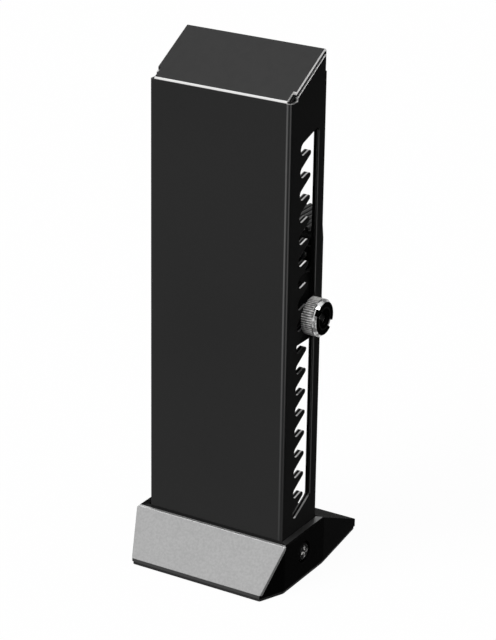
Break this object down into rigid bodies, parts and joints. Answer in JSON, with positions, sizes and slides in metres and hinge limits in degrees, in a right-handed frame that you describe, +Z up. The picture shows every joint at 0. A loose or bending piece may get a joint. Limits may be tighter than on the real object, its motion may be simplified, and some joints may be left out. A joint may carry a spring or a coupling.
{
  "type": "graphics card support bracket",
  "caption": "Freestanding column on a weighted base, with a height-adjustable padded arm behind it that props up a graphics card.",
  "frame": {"origin": "on the floor, under the middle of the column, at the foot mount", "axes": "+Z up along the column; the front face looks along -Y, the arm reaches along +Y, the thumb knob is at +X"},
  "size_m": [0.0699, 0.0744, 0.2077],
  "materials": {
    "black_coated_cover": "fine matte powder coat",
    "black_coated_frame": "satin black coat",
    "black_coated_arm": "satin black coat",
    "black_housing": "fine moulded grain",
    "brushed_front_plate": "brushed lengthwise",
    "weight_steel": "rolled",
    "zinc_screws": "zinc plated",
    "black_screws": "black oxide",
    "magnet_nickel": "nickel plated",
    "sole_rubber": "fine matte",
    "pad_rubber": "ribbed, matte",
    "rivet_steel": "plain",
    "rod_steel": "zinc plated",
    "knob_nickel": "black nickel, straight knurl"
  },
  "bodies": {
    "stand": {"column_cover": "black_coated_cover", "column_frame": "black_coated_frame", "base_housing": "black_housing", "base_front_plate": "brushed_front_plate", "base_weight_plate": "weight_steel", "base_plate_screws": "zinc_screws", "rubber_sole": "sole_rubber", "side_screw_left": "black_screws", "side_screw_right": "black_screws", "side_nut_left": "zinc_screws", "side_nut_right": "zinc_screws", "magnet_front_left": "magnet_nickel", "magnet_front_right": "magnet_nickel", "magnet_rear_left": "magnet_nickel", "magnet_rear_right": "magnet_nickel"},
    "arm": {"arm_carriage": "black_coated_arm", "arm_shelf": "black_coated_arm", "arm_rivets": "rivet_steel", "arm_pad": "pad_rubber"},
    "lock": {"lock_rod": "rod_steel", "rod_washer_left": "rod_steel", "rod_washer_right": "rod_steel"},
    "knob": {"thumb_knob": "knob_nickel"}
  },
  "joints": [
    {"name": "height_slide", "type": "slide", "parent": "stand", "child": "arm", "axis": [0, 0, 1], "range_m": [-0.06864, 0.06864]},
    {"name": "lock_shift", "type": "slide", "parent": "arm", "child": "lock", "axis": [0, -0.9703, -0.2419], "range_m": [0, 0.00773]},
    {"name": "knob_turn", "type": "hinge", "parent": "lock", "child": "knob", "pos_m": [0.034, 0.00475, 0.10693], "axis": [1, 0, 0], "range_deg": [0, 720]}
  ]
}
